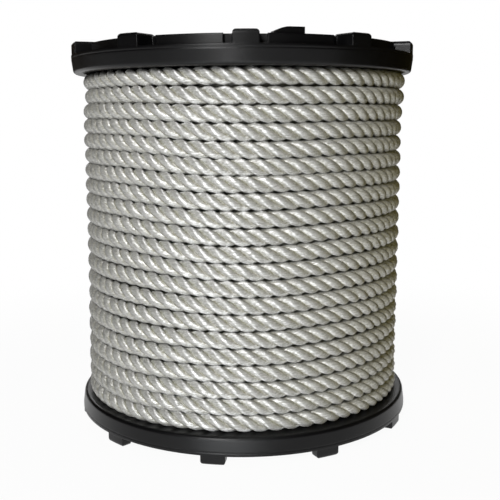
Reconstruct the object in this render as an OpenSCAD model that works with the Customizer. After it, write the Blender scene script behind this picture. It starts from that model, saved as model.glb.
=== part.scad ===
// Moulded reel standing on end, full of laid rope. Millimetres, +Z up along the reel's axis.
// The origin is on the floor, below the middle of the reel. Angles are counted from the front (-Y),
// positive towards +X.

/* [Rope] */
// Diameter of the rope
rope_d = 12.7; // [10:0.1:13.2]
// Turns that pass the front in one layer
turns = 21; // [6:1:24]
// Air between two neighbouring turns
turn_gap = 0.95; // [0.45:0.01:2]
// Layers of rope on the barrel, the outer one included
layers = 7; // [4:1:7]
// Angle at the back over which each turn steps down to the next
cross_angle = 120; // [90:5:140]
// Angle over which the outer layer climbs out of the layer below
climb_angle = 30; // [25:5:30]

/* [Rope end tape] */
// Length of the tape around the rope's free end
tape_l = 25; // [12:1:40]
// Thickness of the tape
tape_t = 0.4; // [0.2:0.05:0.5]

/* [Barrel] */
// Outer diameter of the barrel tube
tube_d = 110; // [100:0.5:114]
// Wall of the barrel tube
tube_wall = 4.2; // [2.5:0.1:8]

/* [Flange rim] */
// Diameter of a flange, over its parting line
flange_d = 304.8; // [300:0.1:340]
// Height of the rim band, from the rope's side to the parting line
rim_h = 12.7; // [10:0.1:18]
// Amount by which the rim band's radius shrinks towards the rope
rim_draft = 1.2; // [0:0.1:2]
// Radius of the rim's edge on the rope's side
rim_edge_r = 3.2; // [1:0.1:4]
// Wall of the rim
rim_wall = 4.2; // [3:0.1:6]
// Height of the lip beyond the parting line
lip_h = 2.7; // [1.5:0.1:5]
// Depth of the groove along the parting line
parting_depth = 0.5; // [0.1:0.05:0.8]

/* [Flange inner wall and lugs] */
// Distance from the rim's outside to the inner wall's outside
wall_setback = 13; // [9:0.1:16]
// Thickness of the inner wall
wall_t = 3.5; // [2.5:0.1:5]
// Height of the inner wall above the lip
wall_rise = 8.5; // [3:0.1:9]
// Number of lugs on a flange
lug_count = 10; // [6:1:12]
// Width of a lug
lug_w = 20; // [12:0.5:24]
// Height of a lug above the lip
lug_rise = 10.3; // [9.5:0.1:12]
// Height of the lower flange's inner wall over its lip
lower_wall_rise = 5.4; // [3:0.1:6.5]
// Height of the lower flange's lugs over its lip
lower_lug_rise = 7.8; // [7.2:0.1:9]
// Depth of the lower flange's lugs along the radius
lower_lug_t = 9; // [7:0.1:11]
// Radius of the edge along the top of a lug's front
lug_edge_r = 3; // [1:0.1:4]
// Distance of a lug's face inside the rim's outside
lug_inset = 0.2; // [0.1:0.1:3]
// Radius of a lug's outer corners
lug_corner_r = 3; // [1:0.1:4]
// Width of the notch on each side of a lug
notch_w = 6.5; // [4:0.1:9]
// Depth of the notch into the inner wall
notch_depth = 5; // [3:0.1:7]
// Height of the sill under a notch
notch_sill = 1.2; // [0.5:0.1:2]
// Angle of the upper flange's first lug
upper_turn = 1; // [-18:0.1:18]
// Angle of the lower flange's first lug
lower_turn = -9.5; // [-18:0.1:18]

/* [Drive stop on the upper flange] */
// Width of the stop along the rim
stop_w = 24.5; // [16:0.5:34]
// Length of the ramp on the stop's left
stop_ramp = 12.5; // [4:0.5:16]
// Height of the stop above the lugs
stop_rise = 4; // [0:0.1:8]
// Radial thickness of the stop
stop_t = 9; // [5:0.5:12]
// Angle of the stop's middle
stop_angle = 15.8; // [12:0.1:18]

/* [Flange disc] */
// Thickness of the disc
web_t = 5; // [3:0.1:7]
// Height of the ribs above the disc
rib_h = 5; // [2:0.1:6]
// Thickness of a rib
rib_t = 3; // [2:0.1:5]
// Bore for the spindle
arbor_d = 38.1; // [30:0.1:42]
// Wall of the hub round the bore
hub_wall = 6; // [4:0.1:8]
// Height of the hub above the disc
hub_rise = 10; // [6:0.1:10.4]
// Depth to which hub and spigot reach into the barrel
spigot_l = 12; // [6:0.5:20]
// Wall of the spigot
spigot_wall = 4; // [3:0.1:5]

/* [Tie bolts] */
// Diameter of a bolt
bolt_d = 6.35; // [5:0.05:7]
// Radius of the circle that the bolts stand on
bolt_circle_r = 37; // [35.5:0.1:38]
// Angle of the first bolt
bolt_turn = 45; // [0:1:60]
// Height of the bosses above the disc
boss_rise = 4; // [2:0.1:5]
// Diameter of a boss
boss_d = 18; // [17:0.1:19]
// Width of a bolt's head and nut across the flats
hex_af = 11.1; // [10:0.1:12]
// Height of a bolt's head
head_h = 4.2; // [3:0.1:5]
// Height of a nut
nut_h = 5.5; // [4:0.1:6]
// Length of bolt past the nut
bolt_past = 1.5; // [0.5:0.1:2.5]
// Diameter of a washer
washer_d = 16; // [14:0.1:16.5]
// Thickness of a washer
washer_t = 1.6; // [1:0.1:2]

/* [Clearances] */
// Play between the first or last turn and the flange
end_gap = 0.35; // [0.3:0.05:1.5]
// Play between soft rope and what it lies on
rope_clear = 0.3; // [0.25:0.05:0.6]
// Radial play of the spigot in the barrel
spigot_clear = 0.25; // [0.1:0.05:0.5]
// Radial play of a bolt in its holes
bolt_clear = 0.3; // [0.1:0.05:0.5]
// Radial play of a nut on its bolt
thread_clear = 0.05; // [0.03:0.01:0.1]

/* [Hidden] */
$fn = 96;
// A small overlap for cuts that run past a face
eps = 1;
// Tie bolts, as many as the list of nodes names
bolt_count = 4;
// Air between the bosses and the ring that the ribs start from
boss_margin = 2;
// Step down from the inner wall and the lugs to the bulge behind each lug
back_margin = 0.2;
// How far the slope behind a lug starts from the lug
slope_margin = 1.5;
// How far the foot of a lug reaches into the rim
foot_overlap = 0.5;
// How far the stop reaches into the bulges of the inner wall
stop_overlap = 0.5;
// Share of the stop's height that its end stands up straight
stop_step = 0.4;
// Tube of the outer layer: rings in a turn, corners of its section
ring_count = 24;
side_count = 6;
ring_step = 360 / ring_count;

// Winding
pitch = rope_d + turn_gap;
rope_r = rope_d / 2;
outer_r = tube_d / 2 + rope_clear + (layers - 0.5) * rope_d;
below_r = outer_r - rope_d;
core_r = outer_r * cos(ring_step / 2) - rope_r - rope_clear;
traverse = turns * pitch - turn_gap + 2 * end_gap;
climb_start = cross_angle / 2 - 180 - climb_angle;
last_angle = 360 * (turns - 1) + 180 - cross_angle / 2;
start_straight = 1.1 * rope_d;
tail_straight = tape_l + 0.3 * rope_d;

// Flange, in heights from its face on the rope's side
flange_r = flange_d / 2;
lip_top = rim_h + lip_h;
wall_top = lip_top + wall_rise;
lug_top = lip_top + lug_rise;
lower_wall_top = lip_top + lower_wall_rise;
lower_lug_top = lip_top + lower_lug_rise;
wall_r = flange_r - wall_setback;
notch_r = wall_r - notch_depth;
notch_half = lug_w / 2 + notch_w;
cheek_half = notch_half + wall_t;
hub_r = arbor_d / 2 + hub_wall;
boss_top = web_t + boss_rise;
root_z = web_t / 2;
rib_ring_r = bolt_circle_r + boss_d / 2 + boss_margin + rib_t;
back_r = notch_r - wall_t / 2;
rib_end_r = back_r - back_margin;
tube_in_r = tube_d / 2 - tube_wall;
spigot_r = tube_in_r - spigot_clear;

// Heights above the floor
lower_face = lower_lug_top;
upper_face = lower_face + traverse;
first_z = upper_face - end_gap - rope_r;
last_z = first_z - (turns - 1) * pitch;

bolt_numbers = [1:bolt_count];

// Route of the outer layer

// Eases from 0 to 1 while u goes from 0 to 1
function ease(u) = let (c = max(0, min(1, u))) c * c * (3 - 2 * c);

// Turns stepped down by the time the rope has gone round to an angle
function steps_down(angle) = let (k = floor(angle / 360))
    max(0, k + ease((angle - 360 * k - 180 + cross_angle / 2) / cross_angle));

function route_r(angle) = below_r + rope_d * ease((angle - climb_start) / climb_angle);
function route(angle) = [
    route_r(angle) * sin(angle),
    -route_r(angle) * cos(angle),
    first_z - pitch * steps_down(angle)
];
function tangent(angle) = [cos(angle), sin(angle), 0];
function outward(angle) = [sin(angle), -cos(angle), 0];

// Angles of the rings: a fine step on the climb, then a whole number of rings in a turn
route_angles = concat(
    [for (a = [climb_start:climb_angle / 6:climb_start + climb_angle - 0.1]) a],
    [for (a = [climb_start + climb_angle:ring_step:last_angle]) a]
);
centres = concat(
    [route(climb_start) - start_straight * tangent(climb_start)],
    [for (a = route_angles) route(a)],
    [route(last_angle) + tail_straight * tangent(last_angle)]
);
ring_angles = concat([climb_start], route_angles, [last_angle]);
ring_total = len(centres);

function unit(v) = v / norm(v);
function heading(i) = i <= 1 ? unit(centres[1] - centres[0])
    : i >= ring_total - 2 ? unit(centres[ring_total - 1] - centres[ring_total - 2])
    : unit(centres[i + 1] - centres[i - 1]);

// Corners of one ring, square to the route, the first corner pointing outwards
function ring(i) = let (
    t = heading(i),
    o = outward(ring_angles[i]),
    n = unit(o - (o * t) * t),
    b = cross(t, n)
) [for (k = [0:side_count - 1])
    let (a = 360 * k / side_count) centres[i] + rope_r * (cos(a) * n + sin(a) * b)];

// Least gap of the tube to itself, from each ring's centre to those about one turn on
gap_from = ring_count - 6;
gap_to = ring_count + 8;
least_gap = min([for (i = [0:ring_total - 1])
    for (j = [i + gap_from:min(i + gap_to, ring_total - 1)])
        norm(centres[j] - centres[i])]) - rope_d;
outer_length = sum_length(ring_total - 1);
function sum_length(i) = i == 0 ? 0 : norm(centres[i] - centres[i - 1]) + sum_length(i - 1);
echo(least_gap_of_the_tube_to_itself = least_gap);
echo(length_of_the_outer_layer = outer_length);

// Parts of a flange, its rope side at z = 0 and its outside upwards

// Section of rim and disc, to be turned about the axis
module rim_section() {
    face_r = flange_r - rim_draft;
    polygon(concat(
        [[0, 0]],
        [for (a = [-90:15:0])
            [face_r - rim_edge_r * (1 - cos(a)), rim_edge_r * (1 + sin(a))]],
        [
            [flange_r, rim_h - parting_depth],
            [flange_r - parting_depth, rim_h],
            [flange_r, rim_h + parting_depth],
            [flange_r, lip_top],
            [flange_r - rim_wall, lip_top],
            [flange_r - rim_wall, web_t],
            [0, web_t]
        ]
    ));
}

module ring_wall(r_out, thickness, height) {
    difference() {
        cylinder(r = r_out, h = height);
        translate([0, 0, -eps]) cylinder(r = r_out - thickness, h = height + 2 * eps);
    }
}

// Places its children at every lug
module at_lugs(turn) {
    for (i = [0:lug_count - 1]) rotate([0, 0, turn + i * 360 / lug_count]) children();
}

// Stands a flat outline up across the radius, from r_in out to r_out
module across(r_in, r_out) {
    translate([0, -r_in, 0]) rotate([90, 0, 0]) linear_extrude(r_out - r_in) children();
}

module lug_outline(top) {
    corner_x = lug_w / 2 - lug_corner_r;
    corner_z = top - lug_corner_r;
    polygon(concat(
        [[-lug_w / 2, root_z], [lug_w / 2, root_z]],
        [for (a = [0:15:90]) [corner_x + lug_corner_r * cos(a), corner_z + lug_corner_r * sin(a)]],
        [for (a = [90:15:180]) [lug_corner_r * cos(a) - corner_x, corner_z + lug_corner_r * sin(a)]]
    ));
}

// Section that gives the lugs their round outside and its upper edge, to be turned about the axis.
// Its foot stays inside the rim, so that nothing of a lug shows below the lip
module lug_section(in_r, top) {
    foot_x = flange_r - rim_wall + foot_overlap;
    foot_z = lip_top - lip_h / 2;
    edge_x = flange_r - lug_inset - lug_edge_r;
    edge_z = top + back_margin - lug_edge_r;
    polygon(concat(
        [[in_r - eps, 0], [foot_x, 0], [foot_x, foot_z], [flange_r - lug_inset, foot_z]],
        [for (a = [0:15:90]) [edge_x + lug_edge_r * cos(a), edge_z + lug_edge_r * sin(a)]],
        [[in_r - eps, top + back_margin]]
    ));
}

module lug(in_r, top) {
    intersection() {
        across(in_r, flange_r) lug_outline(top);
        rotate_extrude() lug_section(in_r, top);
    }
}

// The inner wall's bulge behind a lug. Its back sweeps from the lug's height down to the wall's
module notch_block(wall_z, lug_z) {
    block_top = wall_z - back_margin;
    back_low = block_top - back_margin;
    back_high = lug_z - back_margin;
    slope_half = lug_w / 2 + slope_margin;
    back_half = lug_w / 2 - lug_corner_r;
    slope = [for (u = [0:1 / 6:1.01])
        [slope_half + (back_half - slope_half) * u, back_low + (back_high - back_low) * ease(u)]];
    across(notch_r - wall_t, wall_r - wall_t / 2) polygon([
        [-cheek_half, root_z], [cheek_half, root_z], [cheek_half, block_top], [-cheek_half, block_top]
    ]);
    across(notch_r - wall_t, notch_r - back_margin) polygon(concat(
        [[-notch_half, root_z], [notch_half, root_z], [notch_half, back_low]],
        slope,
        [for (i = [len(slope) - 1:-1:0]) [-slope[i][0], slope[i][1]]],
        [[-notch_half, back_low]]
    ));
}

module notch_cut() {
    sill_top = lip_top + notch_sill;
    translate([-notch_half, -flange_r, sill_top]) cube([2 * notch_half, flange_r - notch_r, lug_top]);
}

// The stop's end stands up a little, then sweeps up to its top
module stop() {
    rise = lug_top + stop_rise - wall_top;
    stop_out = notch_r - wall_t + stop_overlap;
    rotate([0, 0, stop_angle]) across(stop_out - stop_t, stop_out) polygon(concat(
        [[-stop_w / 2, root_z], [stop_w / 2, root_z], [stop_w / 2, wall_top + rise]],
        [for (u = [1:-1 / 6:-0.01])
            [stop_ramp * u - stop_w / 2, wall_top + rise * (stop_step + (1 - stop_step) * sin(90 * u))]]
    ));
}

module at_bolts() {
    for (i = bolt_numbers) at_bolt(i) children();
}

module at_bolt(i) {
    rotate([0, 0, bolt_turn + (i - 1) * 360 / bolt_count]) translate([0, -bolt_circle_r, 0]) children();
}

module flange_body(turn, lug_in_r, wall_z, lug_z) {
    rotate_extrude() rim_section();
    difference() {
        union() {
            translate([0, 0, root_z]) ring_wall(wall_r, wall_t, wall_z - root_z);
            at_lugs(turn) notch_block(wall_z, lug_z);
        }
        at_lugs(turn) notch_cut();
    }
    at_lugs(turn) {
        lug(lug_in_r, lug_z);
        translate([-rib_t / 2, -rib_end_r, root_z])
            cube([rib_t, rib_end_r - rib_ring_r + rib_t / 2, web_t + rib_h - root_z]);
    }
    translate([0, 0, root_z]) ring_wall(rib_ring_r, rib_t, web_t + rib_h - root_z);
    translate([0, 0, -spigot_l]) ring_wall(spigot_r, spigot_wall, spigot_l + root_z);
    translate([0, 0, -spigot_l]) cylinder(r = hub_r, h = spigot_l + web_t + hub_rise);
    at_bolts() translate([0, 0, root_z]) cylinder(d = boss_d, h = boss_top - root_z);
}

module flange_bores() {
    translate([0, 0, -spigot_l - eps]) cylinder(d = arbor_d, h = spigot_l + lug_top);
    at_bolts() translate([0, 0, -spigot_l]) cylinder(d = bolt_d + 2 * bolt_clear, h = spigot_l + lug_top);
}

// Sub-parts

module upper_flange() {
    color("#1c1c1e") translate([0, 0, upper_face]) difference() {
        union() {
            flange_body(upper_turn, back_r, wall_top, lug_top);
            stop();
        }
        flange_bores();
    }
}

module lower_flange() {
    color("#1c1c1e") translate([0, 0, lower_face]) mirror([0, 0, 1]) difference() {
        flange_body(lower_turn, flange_r - lower_lug_t, lower_wall_top, lower_lug_top);
        flange_bores();
    }
}

module barrel_tube() {
    color("#b08d62") translate([0, 0, lower_face]) ring_wall(tube_d / 2, tube_wall, traverse);
}

// Plain body of the inner layers, with the recess from which the outer layer climbs
module rope_inner_layers() {
    core_h = traverse - 2 * rope_clear;
    recess_r = below_r - rope_r - rope_clear;
    recess_back = start_straight + rope_clear;
    recess_z = first_z - rope_r - rope_clear;
    color("#c9c6bc") difference() {
        translate([0, 0, lower_face + rope_clear])
            ring_wall(core_r, core_r - tube_d / 2 - rope_clear, core_h);
        rotate([0, 0, climb_start]) translate([-recess_back, -outer_r - rope_d, recess_z])
            cube([recess_back + core_r, outer_r + rope_d - recess_r, 2 * rope_d]);
    }
}

// One unbroken tube, its faces triangles
module rope_outer_layer() {
    corners = [for (i = [0:ring_total - 1]) each ring(i)];
    function at(i, k) = i * side_count + (k % side_count);
    sides = [for (i = [0:ring_total - 2]) for (k = [0:side_count - 1])
        each [[at(i, k), at(i, k + 1), at(i + 1, k)],
              [at(i, k + 1), at(i + 1, k + 1), at(i + 1, k)]]];
    first_cap = [for (k = [1:side_count - 2]) [at(0, 0), at(0, k + 1), at(0, k)]];
    last = ring_total - 1;
    last_cap = [for (k = [1:side_count - 2]) [at(last, 0), at(last, k), at(last, k + 1)]];
    color("#e4e2da") polyhedron(points = corners, faces = concat(sides, first_cap, last_cap));
}

module rope_end_tape() {
    in_r = rope_r + rope_clear;
    color("#d8d6d0") rotate([0, 0, last_angle])
        translate([tail_straight - tape_l, -outer_r, last_z]) rotate([0, 90, 0]) rotate([0, 0, 90])
            difference() {
                cylinder(r = in_r + tape_t, h = tape_l, $fn = side_count);
                translate([0, 0, -eps]) cylinder(r = in_r, h = tape_l + 2 * eps, $fn = side_count);
            }
}

module tie_bolt(i) {
    top = upper_face + boss_top + washer_t;
    bottom = lower_face - boss_top - washer_t - nut_h - bolt_past;
    color("#b9bcc0") at_bolt(i) {
        translate([0, 0, bottom]) cylinder(d = bolt_d, h = top - bottom);
        translate([0, 0, top]) cylinder(d = hex_af / cos(30), h = head_h, $fn = 6);
    }
}

module washer(i, z) {
    color("#b9bcc0") at_bolt(i) translate([0, 0, z]) difference() {
        cylinder(d = washer_d, h = washer_t);
        translate([0, 0, -eps]) cylinder(d = bolt_d + 2 * bolt_clear, h = washer_t + 2 * eps);
    }
}

module nut(i) {
    color("#b9bcc0") at_bolt(i) translate([0, 0, lower_face - boss_top - washer_t - nut_h]) difference() {
        cylinder(d = hex_af / cos(30), h = nut_h, $fn = 6);
        translate([0, 0, -eps]) cylinder(d = bolt_d + 2 * thread_clear, h = nut_h + 2 * eps);
    }
}

upper_flange();
lower_flange();
barrel_tube();
rope_inner_layers();
rope_outer_layer();
rope_end_tape();
for (i = bolt_numbers) {
    tie_bolt(i);
    washer(i, upper_face + boss_top);
    washer(i, lower_face - boss_top - washer_t);
    nut(i);
}
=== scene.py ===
"""Looks of a moulded reel that stands on end, full of laid rope.

Metres, +Z up along the reel's axis, -Y towards the camera. Angles about the axis are counted from the
front, positive towards +X.
"""
import math

import bpy
import numpy as np
from mathutils import Matrix, Vector


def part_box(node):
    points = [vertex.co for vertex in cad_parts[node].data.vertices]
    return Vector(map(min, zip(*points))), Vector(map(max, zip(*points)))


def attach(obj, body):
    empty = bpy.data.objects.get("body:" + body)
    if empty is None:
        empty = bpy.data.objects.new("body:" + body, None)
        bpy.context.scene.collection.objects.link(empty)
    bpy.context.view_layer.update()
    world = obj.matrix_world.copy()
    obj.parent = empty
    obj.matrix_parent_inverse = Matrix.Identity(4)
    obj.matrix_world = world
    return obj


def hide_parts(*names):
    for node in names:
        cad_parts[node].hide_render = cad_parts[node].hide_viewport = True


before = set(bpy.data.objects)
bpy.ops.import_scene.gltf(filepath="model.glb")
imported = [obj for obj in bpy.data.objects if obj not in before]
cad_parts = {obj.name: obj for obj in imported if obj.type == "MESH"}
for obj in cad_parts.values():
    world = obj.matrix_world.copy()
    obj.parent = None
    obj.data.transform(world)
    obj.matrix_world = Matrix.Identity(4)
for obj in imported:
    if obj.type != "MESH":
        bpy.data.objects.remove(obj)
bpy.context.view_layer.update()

# Sizes of the winding, as in the part's source
ROPE_D = 0.0127
ROPE_R = ROPE_D / 2
TURNS = 21
LAYERS = 7
CROSS_ANGLE = 120
CLIMB_ANGLE = 30
END_GAP = 0.00035
ROPE_CLEAR = 0.0003
TAPE_L = 0.025

# Places that follow from the frame
barrel_low, barrel_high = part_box("barrel_tube")
LOWER_FACE = barrel_low.z
UPPER_FACE = barrel_high.z
BARREL_R = barrel_high.x
PITCH = (UPPER_FACE - LOWER_FACE - 2 * END_GAP - ROPE_D) / (TURNS - 1)
OUTER_R = BARREL_R + ROPE_CLEAR + (LAYERS - 0.5) * ROPE_D
BELOW_R = OUTER_R - ROPE_D
FIRST_Z = UPPER_FACE - END_GAP - ROPE_R
CLIMB_START = CROSS_ANGLE / 2 - 180 - CLIMB_ANGLE
LAST_ANGLE = 360 * (TURNS - 1) + 180 - CROSS_ANGLE / 2
START_STRAIGHT = 1.1 * ROPE_D
TAIL_STRAIGHT = TAPE_L + 0.3 * ROPE_D

# Fineness of the route: degrees round the reel, and points on each straight end
ROUTE_STEP = 0.5
STRAIGHT_POINTS = 12

# Look of the laid rope: three strands, right-hand lay
STRANDS = 3
STRAND_ANGLE = 2 * math.pi / STRANDS
LAY = 0.0385
RINGS_PER_LAY = 18
POINTS_PER_STRAND = 8
STRAND_REACH = 0.0071
STRAND_CENTRE_R = 0.0034
VALLEY = 0.65
# The cut ends count as this much crest, so the painted valley shade darkens their middles
CUT_SHADE_CREST = 0.3
YARN_LENGTH = 0.006
YARN_WIDTH = 0.0015
YARN_DIP = 2.3
YARN_SHIFT = 7.3
YARN_STRAY = 0.7

# How the turns lie off their even places, in pairs: turns below the upper flange, and metres there. The
# first three lift a turn at its left, its right and its front, the next moves it towards +X, and the last
# draws it inwards.
LEFT_LIFT = ((0.5, 0), (2, 0.0013), (5, 0.0044), (9, 0.0064), (12, 0.0057), (15.5, 0.0015), (18, -0.001),
             (20.5, 0))
RIGHT_LIFT = ((0.5, 0), (2, -0.0003), (7, 0.0021), (11, 0.0026), (15, 0.0022), (18, 0.0008),
              (20.5, 0.0004))
FRONT_LIFT = ((0.5, -0.0004), (1.5, -0.0013), (4.5, -0.0013), (6.5, 0))
LEAN = ((1.6, 0.0022), (2.4, 0.0002), (12, 0), (20, -0.0011))
SINK = ((12, 0.0011), (20, 0.0004))

# Degrees round the reel at which the lifts begin or end, and the degrees that takes
RIGHT_SIDE, BACK_SPAN = 90, 180
LEFT_END, LEFT_SPAN = 355, 45
RIGHT_SPAN = 40
FRONT_END, FRONT_SPAN = 40, 30

# Small unevenness along the rope: size, wave lengths and shift
LIFT_WAVE = (0.00035, (0.173, 0.291, 0.467), 0.4)
SWELL_WAVE = (0.0004, (0.231, 0.613, 1.37), 2.1)
TWIST_WAVE = (0.25, (0.7, 1.9), 0.9)

# Length at each end of the rope over which its turns come back to their even places
EVEN_END = 0.3

# Look of the turns under the outer layer
ROW_STEP = 1.0
ROW_POINTS = 9
ROW_HALF_ANGLE = 80
ROW_FILL = 0.99
ROW_PHASE = 0.7
ROW_SINK = 0.0012
# The inner turns count as half a crest at most, so the painted valley shade makes them darker all over
ROW_SHADE_CREST = 0.5
BARREL_GAP = 0.0002
CLIMB_MARGIN = 12
CLIMB_ROOM = 0.0074

# Look of the tape round the rope's end
TAPE_SIDES = 48
TAPE_RINGS = 64
TAPE_LAP = 0.011
TAPE_R = 0.00697
TAPE_BULGE = 0.00006
TAPE_EDGE = 0.00018
TAPE_BORE_R = 0.0062
TAPE_PAST_END = 0.0002

# The round on the fasteners' edges, and the height that the lamps face
FASTENER_EDGE = 0.0002
LAMP_AIM_Z = 0.17


# Camera

def make_camera():
    distance, height = 0.7511, 0.2706
    pitch, yaw, roll = (math.radians(a) for a in (9.26, 0.485, -0.19))
    data = bpy.data.cameras.new("camera")
    data.sensor_width = 36
    data.lens = 57.94
    data.clip_start = 0.01
    camera = bpy.data.objects.new("camera", data)
    turn = (Matrix.Rotation(-yaw, 4, "Z") @ Matrix.Rotation(math.pi / 2 - pitch, 4, "X")
            @ Matrix.Rotation(roll, 4, "Z"))
    camera.matrix_world = Matrix.Translation((0, -distance, height)) @ turn
    bpy.context.scene.collection.objects.link(camera)
    bpy.context.scene.camera = camera


# Meshes

def add_mesh(name, points, faces, smooth=True):
    mesh = bpy.data.meshes.new(name)
    mesh.from_pydata([tuple(p) for p in points], [], faces)
    mesh.polygons.foreach_set("use_smooth", [smooth] * len(mesh.polygons))
    mesh.update()
    piece = bpy.data.objects.new(name, mesh)
    bpy.context.scene.collection.objects.link(piece)
    return piece


def add_attribute(piece, name, kind, values):
    field = "vector" if kind == "FLOAT_VECTOR" else "value"
    attribute = piece.data.attributes.new(name, kind, "POINT")
    attribute.data.foreach_set(field, np.asarray(values, np.float32).ravel())


def tube_faces(rings, sides):
    """Quads between rings of points, and a fan over each end to one more point."""
    faces = []
    for i in range(rings - 1):
        for k in range(sides):
            k2 = (k + 1) % sides
            faces.append((i * sides + k, i * sides + k2, (i + 1) * sides + k2, (i + 1) * sides + k))
    start, end = rings * sides, rings * sides + 1
    last = (rings - 1) * sides
    for k in range(sides):
        k2 = (k + 1) % sides
        faces.append((start, k2, k))
        faces.append((end, last + k, last + k2))
    return faces


def loop_faces(rings, sides):
    """Quads between rings of points, the last ring joined to the first."""
    faces = []
    for i in range(rings):
        i2 = (i + 1) % rings
        for k in range(sides):
            k2 = (k + 1) % sides
            faces.append((i * sides + k, i * sides + k2, i2 * sides + k2, i2 * sides + k))
    return faces


# Lines

def ease(u):
    """Goes smoothly from 0 to 1 while u does, and stays there beyond."""
    c = np.clip(u, 0, 1)
    return c * c * (3 - 2 * c)


def unit(vectors):
    return vectors / np.linalg.norm(vectors, axis=-1, keepdims=True)


def lengths_along(line):
    return np.concatenate([[0], np.cumsum(np.linalg.norm(np.diff(line, axis=0), axis=1))])


def points_at(at, along, line):
    return np.stack([np.interp(at, along, line[:, k]) for k in range(3)], axis=1)


# Rope

def steps_down(angle):
    """How many pitches the route has come down: one each time it passes the back."""
    k = np.floor(angle / 360)
    return np.maximum(0, k + ease((angle - 360 * k - 180 + CROSS_ANGLE / 2) / CROSS_ANGLE))


def route_r(angle):
    """Radius of the route, which climbs from the layer below to the outer one."""
    return BELOW_R + ROPE_D * ease((angle - CLIMB_START) / CLIMB_ANGLE)


def on_route(angle):
    a = np.radians(angle)
    r = route_r(angle)
    return np.stack([r * np.sin(a), -r * np.cos(a), FIRST_Z - PITCH * steps_down(angle)], axis=-1)


def tangent(angle):
    a = math.radians(angle)
    return np.array([math.cos(a), math.sin(a), 0])


def rope_line():
    """The rope's even centreline, with points an even distance apart, and the length up to each."""
    angles = np.arange(CLIMB_START, LAST_ANGLE + ROUTE_STEP / 2, ROUTE_STEP)
    share = np.arange(1, STRAIGHT_POINTS + 1)[:, None] / STRAIGHT_POINTS
    before = on_route(CLIMB_START) - share[::-1] * START_STRAIGHT * tangent(CLIMB_START)
    after = on_route(LAST_ANGLE) + share * TAIL_STRAIGHT * tangent(LAST_ANGLE)
    line = np.concatenate([before, on_route(angles), after])
    along = lengths_along(line)
    count = round(along[-1] / LAY * RINGS_PER_LAY)
    at = np.linspace(0, along[-1], count)
    return points_at(at, along, line), at


def waves(at, size, lengths, shift):
    """A slow irregular wave along the rope, no higher than its size, made of a few sines."""
    total = sum(np.sin(2 * math.pi * at / length + shift + i) for i, length in enumerate(lengths))
    return size * (total / len(lengths))


def by_turn(line, pairs):
    """A value that follows from how many turns a point lies below the upper flange."""
    return np.interp((UPPER_FACE - line[:, 2]) / PITCH, *zip(*pairs))


def drift(line):
    """How far the turns lie above their even places. The middle turns end their step down at the front
    left, and lie a little high at the right."""
    around = np.mod(np.degrees(np.arctan2(line[:, 0], -line[:, 1])), 360)
    from_front = np.minimum(around, 360 - around)
    behind = ease((around - RIGHT_SIDE) / BACK_SPAN)
    left = by_turn(line, LEFT_LIFT) * ease((LEFT_END - around) / LEFT_SPAN)
    right = by_turn(line, RIGHT_LIFT) * ease(around / RIGHT_SPAN)
    front = by_turn(line, FRONT_LIFT) * ease((FRONT_END - from_front) / FRONT_SPAN)
    return left * behind + right * (1 - behind) + front


def slack(line, at):
    """The centreline with its turns off their even places: up and down, to the side, and in and out."""
    fade = ease(at / EVEN_END) * ease((at[-1] - at) / EVEN_END)
    out = unit(line * [1, 1, 0])
    lift = drift(line) + waves(at, *LIFT_WAVE)
    swell = waves(at, *SWELL_WAVE) - by_turn(line, SINK)
    lean = by_turn(line, LEAN)
    level = np.zeros_like(lean)
    return line + np.stack([fade * lean, level, fade * lift], axis=1) + (fade * swell)[:, None] * out


def crest_of(across):
    """How much of a crest a strand has at a place across it: 1 in its middle, 0 at its sides."""
    return 2 * np.cos(STRAND_ANGLE * across) - 1


def reach_of(crest, most):
    """How far a strand reaches from the rope's centre, given how far its crest does."""
    return most * (VALLEY + (1 - VALLEY) * crest)


def make_rope():
    """The outer layer with its strands, its centreline, and the even centreline's length."""
    line, at = rope_line()
    line = slack(line, at)
    heading = unit(np.gradient(line, axis=0))
    out = line * [1, 1, 0]
    out = unit(out - (out * heading).sum(1)[:, None] * heading)
    down = np.cross(heading, out)

    # Places across a strand, from one side at -0.5 to the other at 0.5
    place = 0.5 * np.sin(math.pi / 2 * np.linspace(-1, 1, POINTS_PER_STRAND + 1)[:-1])
    across = np.tile(place, STRANDS)
    crest = crest_of(across)
    reach = reach_of(crest, STRAND_REACH)
    strand = np.repeat(np.arange(STRANDS), POINTS_PER_STRAND)
    twist = 2 * math.pi * at / LAY + waves(at, *TWIST_WAVE)
    angle = twist[:, None] + (strand + across)[None, :] * STRAND_ANGLE
    side, front = np.sin(angle), np.cos(angle)
    outwards = front[..., None] * out[:, None, :] + side[..., None] * down[:, None, :]
    rings = line[:, None, :] + reach[None, :, None] * outwards
    points = np.concatenate([rings.reshape(-1, 3), line[:1], line[-1:]])
    piece = add_mesh("laid_rope", points, tube_faces(*angle.shape))

    yarn = np.stack([
        np.broadcast_to(at[:, None] / YARN_LENGTH, angle.shape),
        front * reach / YARN_WIDTH + strand * YARN_SHIFT,
        side * reach / YARN_WIDTH,
    ], axis=-1)
    lie = yarn_lie(heading, out, down, angle, across, reach)
    # Crest values feed only the material's painted shade, darker and more olive towards the valleys
    shade_crests = np.concatenate([np.tile(crest, len(line)), [CUT_SHADE_CREST, CUT_SHADE_CREST]])
    add_attribute(piece, "yarn", "FLOAT_VECTOR", np.concatenate([yarn.reshape(-1, 3), np.zeros((2, 3))]))
    add_attribute(piece, "lie", "FLOAT_VECTOR", np.concatenate([lie.reshape(-1, 3), out[:1], out[-1:]]))
    add_attribute(piece, "crest", "FLOAT", shade_crests)
    return piece, line, at[-1]


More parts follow.
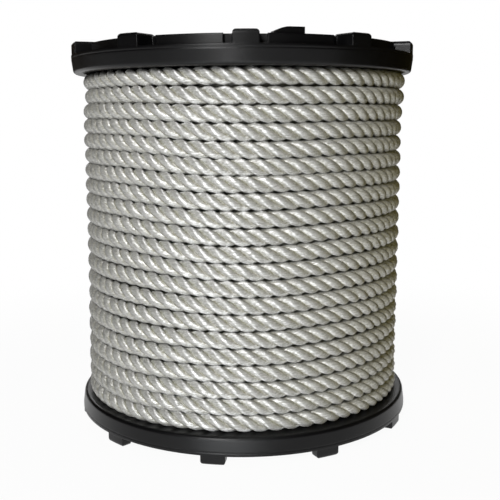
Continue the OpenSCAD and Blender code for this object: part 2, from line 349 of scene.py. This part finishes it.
def yarn_lie(heading, out, down, angle, across, reach):
    """The way the yarns run at each point. They are twisted against the lay, so that they lie along the
    rope on a strand's crest and dip inwards on its sides."""
    strand_slope = math.atan(2 * math.pi * STRAND_CENTRE_R / LAY)
    yarn_slope = math.atan(math.sin(strand_slope))
    off_middle = across * STRAND_ANGLE
    middle = angle - off_middle
    outward = np.cos(middle)[..., None] * out[:, None, :] + np.sin(middle)[..., None] * down[:, None, :]
    sideways = np.cos(middle)[..., None] * down[:, None, :] - np.sin(middle)[..., None] * out[:, None, :]
    run = math.cos(strand_slope) * heading[:, None, :] + math.sin(strand_slope) * sideways
    around = np.arctan2(reach * np.sin(off_middle), reach * np.cos(off_middle) - STRAND_CENTRE_R)
    wrap = np.cos(around)[:, None] * sideways - YARN_DIP * np.sin(around)[:, None] * outward
    return math.cos(yarn_slope) * run - math.sin(yarn_slope) * wrap


def make_inner_layers():
    """The turns under the outer layer, with room at the top where the outer layer climbs out of them."""
    angles = np.arange(-180, 180, ROW_STEP)
    around = np.radians(np.linspace(-ROW_HALF_ANGLE, ROW_HALF_ANGLE, ROW_POINTS))
    rows = np.arange(TURNS)[:, None]
    twist = np.radians(angles) * BELOW_R * 2 * math.pi / LAY
    phase = around - twist[:, None, None] + ROW_PHASE * rows
    crest = crest_of(np.mod(phase, STRAND_ANGLE) / STRAND_ANGLE - 0.5)
    radius = BELOW_R - ROW_SINK + reach_of(crest, ROPE_R) * np.cos(around)
    climbing = (angles > CLIMB_START - CLIMB_MARGIN) & (angles < CLIMB_START + CLIMB_ANGLE)
    room = np.where(climbing, route_r(angles) - CLIMB_ROOM, np.inf)
    radius[:, 0, :] = np.minimum(radius[:, 0, :], room[:, None])
    height = np.broadcast_to(FIRST_Z - PITCH * rows - ROW_FILL * ROPE_R * np.sin(around), radius.shape)

    # Each ring runs from the barrel out over the rows, and back to the barrel
    count = len(angles)
    radius, height, crest = (values.reshape(count, -1) for values in (radius, height, crest))
    bore = np.full((count, 1), BARREL_R + BARREL_GAP)
    edge = np.zeros((count, 1))
    radius = np.concatenate([bore, radius, bore], axis=1)
    height = np.concatenate([height[:, :1], height, height[:, -1:]], axis=1)
    crest = np.concatenate([edge, crest, edge], axis=1)
    a = np.broadcast_to(np.radians(angles)[:, None], radius.shape)
    points = np.stack([radius * np.sin(a), -radius * np.cos(a), height], axis=-1)
    piece = add_mesh("inner_rope_layers", points.reshape(-1, 3), loop_faces(*radius.shape))

    yarn = np.stack([a * BELOW_R / YARN_LENGTH, radius / YARN_WIDTH, height / YARN_WIDTH], axis=-1)
    lie = np.stack([np.cos(a), np.sin(a), np.zeros_like(radius)], axis=-1)
    add_attribute(piece, "yarn", "FLOAT_VECTOR", yarn)
    add_attribute(piece, "lie", "FLOAT_VECTOR", lie)
    # Halved crest values: painted shade, darker on the inner turns than on the outer layer
    add_attribute(piece, "crest", "FLOAT", ROW_SHADE_CREST * crest)
    return piece


def make_tape(line):
    """Tape wound round the last of the rope, with the edge of each lap standing up a little."""
    along = lengths_along(line)
    at = np.linspace(along[-1] - TAPE_L, along[-1] + TAPE_PAST_END, TAPE_RINGS)
    inside = np.minimum(at, along[-1])
    heading = unit(line[-1] - line[-2])
    centre = points_at(inside, along, line) + (at - inside)[:, None] * heading
    out = line[-1] * [1, 1, 0]
    out = unit(out - heading * np.dot(out, heading))
    down = np.cross(heading, out)
    angle = np.linspace(0, 2 * math.pi, TAPE_SIDES, endpoint=False)
    lapped = np.mod((at[:, None] + TAPE_LAP * angle[None, :] / (2 * math.pi)) / TAPE_LAP, 1)
    bulge = np.cos(STRANDS * (angle[None, :] - 2 * math.pi * at[:, None] / LAY))
    radius = TAPE_R + TAPE_BULGE * bulge + TAPE_EDGE * lapped
    outwards = np.cos(angle)[:, None] * out + np.sin(angle)[:, None] * down
    skin = centre[:, None, :] + radius[..., None] * outwards
    ends = centre[[-1, 0]][:, None, :] + TAPE_BORE_R * outwards
    points = np.concatenate([skin, ends])
    return add_mesh("wound_tape", points.reshape(-1, 3), loop_faces(len(points), TAPE_SIDES))


# Materials

def new_material(name):
    material = bpy.data.materials.new(name)
    material.use_nodes = True
    nodes = material.node_tree.nodes
    return material, nodes, material.node_tree.links, nodes["Principled BSDF"]


def add_node(nodes, kind, **values):
    """A node with its settings, and with its inputs given as i_Name or i_number."""
    node = nodes.new(kind)
    for key, value in values.items():
        if key.startswith("i_"):
            name = key[2:]
            node.inputs[int(name) if name.isdigit() else name].default_value = value
        else:
            setattr(node, key, value)
    return node


def add_ramp(nodes, stops):
    node = nodes.new("ShaderNodeValToRGB")
    ramp = node.color_ramp
    while len(ramp.elements) < len(stops):
        ramp.elements.new(0.5)
    for element, (place, colour) in zip(ramp.elements, stops):
        element.position = place
        element.color = (*colour, 1)
    return node


def add_range(nodes, old, new):
    """A node that takes values from one range to another."""
    return add_node(nodes, "ShaderNodeMapRange", i_1=old[0], i_2=old[1], i_3=new[0], i_4=new[1])


def add_noise(nodes, links, place, scale, detail):
    noise = add_node(nodes, "ShaderNodeTexNoise", i_Scale=scale, i_Detail=detail)
    links.new(place, noise.inputs["Vector"])
    return noise


def add_tint(nodes, links, noise, stops):
    """A colour that follows a noise, or an attribute."""
    tint = add_ramp(nodes, stops)
    links.new(noise.outputs["Fac"], tint.inputs["Fac"])
    return tint


def add_product(nodes, links, first, second):
    """The product of two colours."""
    node = add_node(nodes, "ShaderNodeMix", data_type="RGBA", blend_type="MULTIPLY", i_0=1.0)
    links.new(first.outputs["Color"], node.inputs[6])
    links.new(second.outputs["Color"], node.inputs[7])
    return node.outputs[2]


def drive(nodes, links, noise, old, new, target):
    """Lets a noise set a value."""
    spread = add_range(nodes, old, new)
    links.new(noise.outputs["Fac"], spread.inputs["Value"])
    links.new(spread.outputs["Result"], target)


def add_bump(nodes, links, shader, noise, strength, distance):
    """Lets a noise roughen the surface in relief."""
    bump = add_node(nodes, "ShaderNodeBump", i_Strength=strength, i_Distance=distance)
    links.new(noise.outputs["Fac"], bump.inputs["Height"])
    links.new(bump.outputs["Normal"], shader.inputs["Normal"])
    return bump


def rope_material():
    """Yarns that shine along their own run, with bright and dull ones side by side, and painted shade,
    darker and more olive, in the valleys between strands.
    """
    material, nodes, links, shader = new_material("bright_laid_nylon")
    yarn = add_node(nodes, "ShaderNodeAttribute", attribute_name="yarn").outputs["Vector"]
    crest = add_node(nodes, "ShaderNodeAttribute", attribute_name="crest")
    lie = add_node(nodes, "ShaderNodeAttribute", attribute_name="lie")
    grain = add_noise(nodes, links, yarn, scale=1.0, detail=1.0)
    tint = add_tint(nodes, links, grain, [(0.3, (0.30, 0.298, 0.280)), (0.7, (0.46, 0.458, 0.440))])
    # Painted shade: the colour turns darker and more olive towards the valleys between strands, where the
    # crest is 0
    valley_shade = add_tint(nodes, links, crest, [
        (0.0, (0.5, 0.47, 0.27)),
        (0.4, (0.92, 0.91, 0.83)),
        (1.0, (1, 1, 1)),
    ])
    links.new(add_product(nodes, links, tint, valley_shade), shader.inputs["Base Color"])
    drive(nodes, links, grain, (0.3, 0.7), (0.46, 0.56), shader.inputs["Roughness"])
    add_bump(nodes, links, shader, grain, strength=0.75, distance=0.0006)

    stray = add_noise(nodes, links, yarn, scale=1.2, detail=1.0)
    either_way = add_node(nodes, "ShaderNodeVectorMath", operation="SUBTRACT", i_1=(0.5, 0.5, 0.5))
    links.new(stray.outputs["Color"], either_way.inputs[0])
    loose = add_node(nodes, "ShaderNodeVectorMath", operation="MULTIPLY_ADD", i_1=[YARN_STRAY] * 3)
    links.new(either_way.outputs["Vector"], loose.inputs[0])
    links.new(lie.outputs["Vector"], loose.inputs[2])
    surface = add_node(nodes, "ShaderNodeNewGeometry")
    across = add_node(nodes, "ShaderNodeVectorMath", operation="CROSS_PRODUCT")
    links.new(surface.outputs["Normal"], across.inputs[0])
    links.new(loose.outputs["Vector"], across.inputs[1])
    links.new(across.outputs["Vector"], shader.inputs["Tangent"])
    shader.inputs["Anisotropic"].default_value = 0.92
    shader.inputs["IOR"].default_value = 2.4
    glint = add_noise(nodes, links, yarn, scale=1.3, detail=1.0)
    drive(nodes, links, glint, (0.37, 0.63), (0.3, 1.45), shader.inputs["Specular IOR Level"])
    return material


def plastic_material():
    """Black plastic with a fine grain, clouded a little, and with its edges softened in the light."""
    material, nodes, links, shader = new_material("moulded_black_plastic")
    place = add_node(nodes, "ShaderNodeTexCoord").outputs["Object"]
    grain = add_noise(nodes, links, place, scale=1800.0, detail=2.0)
    cloud = add_noise(nodes, links, place, scale=22.0, detail=4.0)
    tint = add_tint(nodes, links, cloud, [(0.35, (0.002, 0.002, 0.0023)), (0.75, (0.004, 0.004, 0.0044))])
    links.new(tint.outputs["Color"], shader.inputs["Base Color"])
    drive(nodes, links, cloud, (0, 1), (0.27, 0.4), shader.inputs["Roughness"])
    soften = add_node(nodes, "ShaderNodeBevel", samples=8, i_Radius=0.0016)
    bump = add_bump(nodes, links, shader, grain, strength=0.12, distance=0.0002)
    links.new(soften.outputs["Normal"], bump.inputs["Normal"])
    shader.inputs["Specular IOR Level"].default_value = 0.26
    return material


def tape_material():
    material, nodes, links, shader = new_material("pale_cloth_tape")
    place = add_node(nodes, "ShaderNodeTexCoord").outputs["Object"]
    weave = add_noise(nodes, links, place, scale=1500.0, detail=2.0)
    tint = add_tint(nodes, links, weave, [(0.3, (0.50, 0.49, 0.45)), (0.7, (0.62, 0.61, 0.57))])
    links.new(tint.outputs["Color"], shader.inputs["Base Color"])
    drive(nodes, links, weave, (0, 1), (0.45, 0.65), shader.inputs["Roughness"])
    add_bump(nodes, links, shader, weave, strength=0.2, distance=0.0002)
    return material


def board_material():
    """Spiral-wound paperboard: a dark seam that climbs round the tube, over mottled brown."""
    seams_per_metre = 10.0
    material, nodes, links, shader = new_material("spiral_paperboard")
    place = add_node(nodes, "ShaderNodeTexCoord").outputs["Object"]
    parts = add_node(nodes, "ShaderNodeSeparateXYZ")
    links.new(place, parts.inputs[0])
    turn = add_node(nodes, "ShaderNodeMath", operation="ARCTAN2")
    links.new(parts.outputs["Y"], turn.inputs[0])
    links.new(parts.outputs["X"], turn.inputs[1])
    wrap = add_node(nodes, "ShaderNodeMath", operation="DIVIDE", i_1=2 * math.pi)
    links.new(turn.outputs[0], wrap.inputs[0])
    climb = add_node(nodes, "ShaderNodeMath", operation="MULTIPLY_ADD", i_1=seams_per_metre)
    links.new(parts.outputs["Z"], climb.inputs[0])
    links.new(wrap.outputs[0], climb.inputs[2])
    lap = add_node(nodes, "ShaderNodeMath", operation="FRACT")
    links.new(climb.outputs[0], lap.inputs[0])
    seam = add_ramp(nodes, [(0.0, (0.35, 0.35, 0.35)), (0.02, (1, 1, 1))])
    links.new(lap.outputs[0], seam.inputs["Fac"])
    mottle = add_noise(nodes, links, place, scale=180.0, detail=4.0)
    tint = add_tint(nodes, links, mottle, [(0.3, (0.30, 0.21, 0.125)), (0.7, (0.42, 0.31, 0.20))])
    links.new(add_product(nodes, links, tint, seam), shader.inputs["Base Color"])
    shader.inputs["Roughness"].default_value = 0.85
    return material


def zinc_material():
    material, nodes, links, shader = new_material("zinc_plate")
    place = add_node(nodes, "ShaderNodeTexCoord").outputs["Object"]
    mottle = add_noise(nodes, links, place, scale=260.0, detail=4.0)
    tint = add_tint(nodes, links, mottle, [(0.3, (0.50, 0.51, 0.53)), (0.7, (0.66, 0.67, 0.69))])
    links.new(tint.outputs["Color"], shader.inputs["Base Color"])
    drive(nodes, links, mottle, (0, 1), (0.28, 0.45), shader.inputs["Roughness"])
    shader.inputs["Metallic"].default_value = 1.0
    return material


def finish_solid(name, material, edge):
    """Gives a solid its material, and a small round on its edges where one is asked for."""
    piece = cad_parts[name]
    piece.data.materials.clear()
    piece.data.materials.append(material)
    if edge:
        weld = piece.modifiers.new("weld", "WELD")
        weld.merge_threshold = 0.00001
        bevel = piece.modifiers.new("bevel", "BEVEL")
        bevel.width = edge
        bevel.segments = 2
        bevel.limit_method = "ANGLE"
        bevel.angle_limit = math.radians(35)
        bevel.use_clamp_overlap = True
        bevel.harden_normals = True


# Floor, light and background

def matt_material(name, colour, roughness, specular):
    """A material of one colour, for the set, with its nodes, links and shader."""
    made = new_material(name)
    shader = made[3]
    shader.inputs["Base Color"].default_value = (*colour, 1)
    shader.inputs["Roughness"].default_value = roughness
    shader.inputs["Specular IOR Level"].default_value = specular
    return made


def white_to_the_eye(nodes, links, lit, seen):
    """Shows one shader to the camera, in gloss and through glass, and leaves all else to the other."""
    path = add_node(nodes, "ShaderNodeLightPath")
    ray = path.outputs["Is Camera Ray"]
    for name in ("Is Glossy Ray", "Is Transmission Ray"):
        either = add_node(nodes, "ShaderNodeMath", operation="MAXIMUM")
        links.new(ray, either.inputs[0])
        links.new(path.outputs[name], either.inputs[1])
        ray = either.outputs[0]
    mix = add_node(nodes, "ShaderNodeMixShader")
    links.new(ray, mix.inputs[0])
    links.new(lit.outputs[0], mix.inputs[1])
    links.new(seen.outputs[0], mix.inputs[2])
    return mix


def make_floor():
    """A pale floor that takes the reel's shadow near it and is plain white further away."""
    reach = 12
    near, far = 0.25, 0.7
    near_glow, far_glow = 0.955, 1.0
    corners = [(-reach, -reach, 0), (reach, -reach, 0), (reach, reach, 0), (-reach, reach, 0)]
    floor = add_mesh("floor", corners, [(0, 1, 2, 3)], smooth=False)
    made = matt_material("pale_floor", (0.7, 0.7, 0.7), roughness=0.9, specular=0.1)
    material, nodes, links, shader = made
    glow = add_node(nodes, "ShaderNodeEmission", i_Strength=1.0)
    place = add_node(nodes, "ShaderNodeTexCoord")
    away = add_node(nodes, "ShaderNodeVectorMath", operation="LENGTH")
    links.new(place.outputs["Object"], away.inputs[0])
    share = add_range(nodes, (near, far), (near_glow, far_glow))
    share.interpolation_type = "SMOOTHSTEP"
    links.new(away.outputs["Value"], share.inputs["Value"])
    lit = add_node(nodes, "ShaderNodeMixShader")
    links.new(share.outputs["Result"], lit.inputs[0])
    links.new(shader.outputs[0], lit.inputs[1])
    links.new(glow.outputs[0], lit.inputs[2])
    mix = white_to_the_eye(nodes, links, shader, lit)
    links.new(mix.outputs[0], nodes["Material Output"].inputs["Surface"])
    floor.data.materials.append(material)


def make_walls():
    """Dark cloth round and over the set, which the camera doesn't see: it keeps black plastic black."""
    radius, height, sides = 2.5, 2.4, 48
    points = []
    for z in (0, height):
        for k in range(sides):
            a = 2 * math.pi * k / sides
            points.append((radius * math.sin(a), -radius * math.cos(a), z))
    faces = [(k, (k + 1) % sides, sides + (k + 1) % sides, sides + k) for k in range(sides)]
    faces.append(tuple(range(sides, 2 * sides)))
    walls = add_mesh("dark_walls", points, faces, smooth=False)
    cloth = matt_material("dark_cloth", (0.14, 0.11, 0.075), roughness=1.0, specular=0.0)[0]
    walls.data.materials.append(cloth)
    walls.visible_camera = False


def make_card():
    """A dark card to the right of the set, which the camera doesn't see: it keeps that side dark."""
    x, front, back, top = 0.45, -0.3, 0.6, 0.9
    points = [(x, front, 0), (x, back, 0), (x, back, top), (x, front, top)]
    card = add_mesh("dark_card", points, [(0, 1, 2, 3)], smooth=False)
    paper = matt_material("dark_paper", (0.04, 0.032, 0.012), roughness=1.0, specular=0.0)[0]
    card.data.materials.append(paper)
    card.visible_camera = False


def add_lamp(name, azimuth, elevation, distance, size, power, colour=(1, 1, 1)):
    """A soft box that faces the middle of the reel."""
    a, e = math.radians(azimuth), math.radians(elevation)
    away = Vector((math.sin(a) * math.cos(e), -math.cos(a) * math.cos(e), math.sin(e)))
    data = bpy.data.lights.new(name, "AREA")
    data.shape = "RECTANGLE"
    data.size, data.size_y = size
    data.energy = power
    data.color = colour
    lamp = bpy.data.objects.new(name, data)
    lamp.location = Vector((0, 0, LAMP_AIM_Z)) + distance * away
    lamp.rotation_euler = (-away).to_track_quat("-Z", "Y").to_euler()
    bpy.context.scene.collection.objects.link(lamp)
    return lamp


def make_light():
    add_lamp("key", azimuth=-17, elevation=26, distance=1.5, size=(0.25, 0.45), power=14.8)
    add_lamp("front", azimuth=-9, elevation=-4, distance=1.4, size=(0.3, 0.12), power=1.6)
    add_lamp("low", azimuth=-10, elevation=-15.5, distance=0.54, size=(0.3, 0.04), power=0.56,
             colour=(0.92, 0.97, 1))
    warm = add_lamp("warm", azimuth=68, elevation=0, distance=0.42, size=(0.25, 0.32), power=0.14,
                    colour=(1, 0.82, 0.06))
    warm.visible_glossy = False
    add_lamp("back_left", azimuth=-165, elevation=30, distance=1.7, size=(0.8, 0.8), power=7)
    add_lamp("back_right", azimuth=165, elevation=30, distance=1.7, size=(0.8, 0.8), power=5)
    add_lamp("top", azimuth=0, elevation=66, distance=1.6, size=(0.3, 0.3), power=2)


def make_world():
    """White where the camera looks past the floor, and a little even light on the set."""
    world = bpy.data.worlds.new("white_room")
    bpy.context.scene.world = world
    world.use_nodes = True
    nodes, links = world.node_tree.nodes, world.node_tree.links
    ambient = nodes["Background"]
    ambient.inputs["Color"].default_value = (1, 1, 1, 1)
    ambient.inputs["Strength"].default_value = 0.03
    seen = add_node(nodes, "ShaderNodeBackground", i_Color=(1, 1, 1, 1), i_Strength=1.0)
    mix = white_to_the_eye(nodes, links, ambient, seen)
    links.new(mix.outputs[0], nodes["World Output"].inputs["Surface"])


make_camera()

nylon = rope_material()
rope, rope_path, rope_length = make_rope()
rope.data.materials.append(nylon)
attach(rope, "root")
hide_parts("rope_outer_layer")

inner = make_inner_layers()
inner.data.materials.append(nylon)
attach(inner, "root")
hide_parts("rope_inner_layers")

tape = make_tape(rope_path)
tape.data.materials.append(tape_material())
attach(tape, "root")
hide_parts("rope_end_tape")

plastic = plastic_material()
for name in ("upper_flange", "lower_flange"):
    finish_solid(name, plastic, edge=0)
finish_solid("barrel_tube", board_material(), edge=0)
zinc = zinc_material()
for i in range(1, 5):
    for name in ("tie_bolt", "head_washer", "nut_washer", "nut"):
        finish_solid(f"{name}_{i}", zinc, edge=FASTENER_EDGE)

make_floor()
make_walls()
make_card()
make_light()
make_world()
bpy.context.scene.view_settings.view_transform = "Standard"
